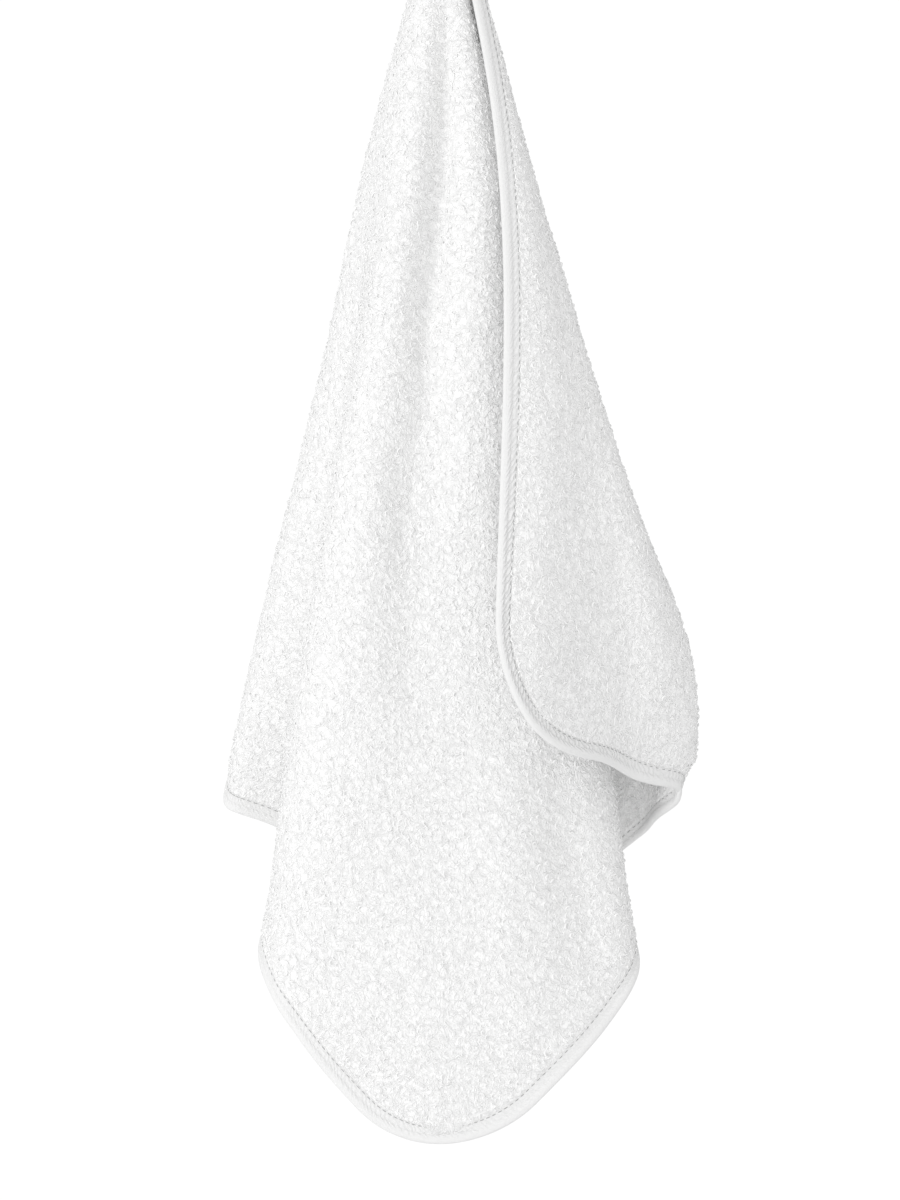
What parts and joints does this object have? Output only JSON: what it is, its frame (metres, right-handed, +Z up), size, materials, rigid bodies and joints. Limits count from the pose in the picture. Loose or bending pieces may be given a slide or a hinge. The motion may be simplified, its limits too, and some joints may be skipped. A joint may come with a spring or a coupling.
{
  "type": "hand towel",
  "caption": "Square white terry hand towel with rounded corners and a woven tape folded over its edge, hanging from one corner in soft folds.",
  "frame": {"origin": "top of the tape at the middle of the rounded corner that is held", "axes": "+Z up, -Y towards the viewer of the picture, +X to the viewer's right"},
  "size_m": [0.2671, 0.1852, 0.6841],
  "materials": {
    "white_terry": "white cotton terry, looped pile on both faces",
    "white_tape": "white cotton twill tape, matt"
  },
  "bodies": {
    "root": {"towel_cloth": "white_terry", "edge_binding": "white_tape"}
  },
  "joints": []
}
